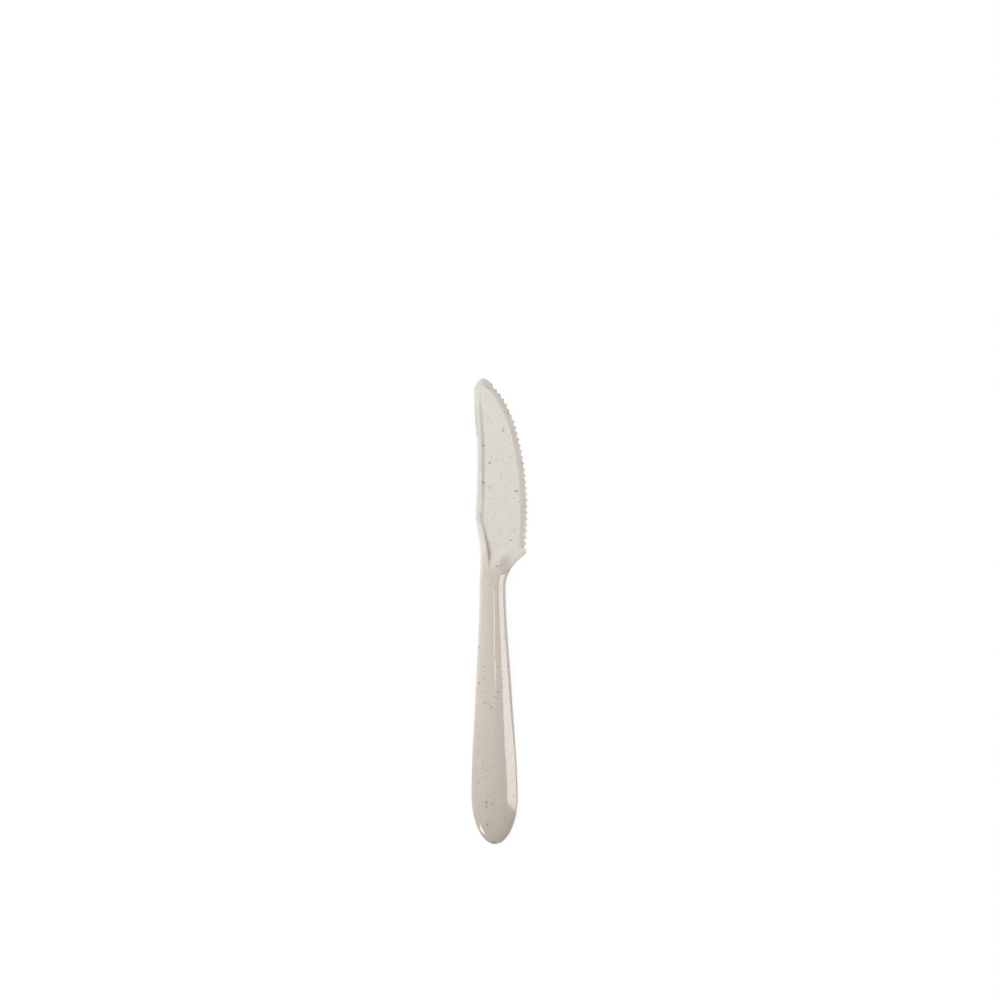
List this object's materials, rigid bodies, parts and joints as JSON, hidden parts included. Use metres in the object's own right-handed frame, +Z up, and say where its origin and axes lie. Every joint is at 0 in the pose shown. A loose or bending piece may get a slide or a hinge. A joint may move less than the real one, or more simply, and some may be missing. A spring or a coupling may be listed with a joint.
{
  "type": "disposable table knife",
  "caption": "Moulded plastic table knife with a hollow arched handle, a bead along the spine and a scalloped cutting edge.",
  "frame": {"origin": "centre of the footprint, on the plane that the knife lies on", "axes": "+Y from the butt to the tip, +X towards the cutting edge, +Z up from the flat side to the handle's crest"},
  "size_m": [0.0236, 0.185, 0.0048],
  "materials": {
    "plastic": "soft gloss with fine dark flecks"
  },
  "bodies": {
    "root": {"knife": "plastic"}
  },
  "joints": []
}
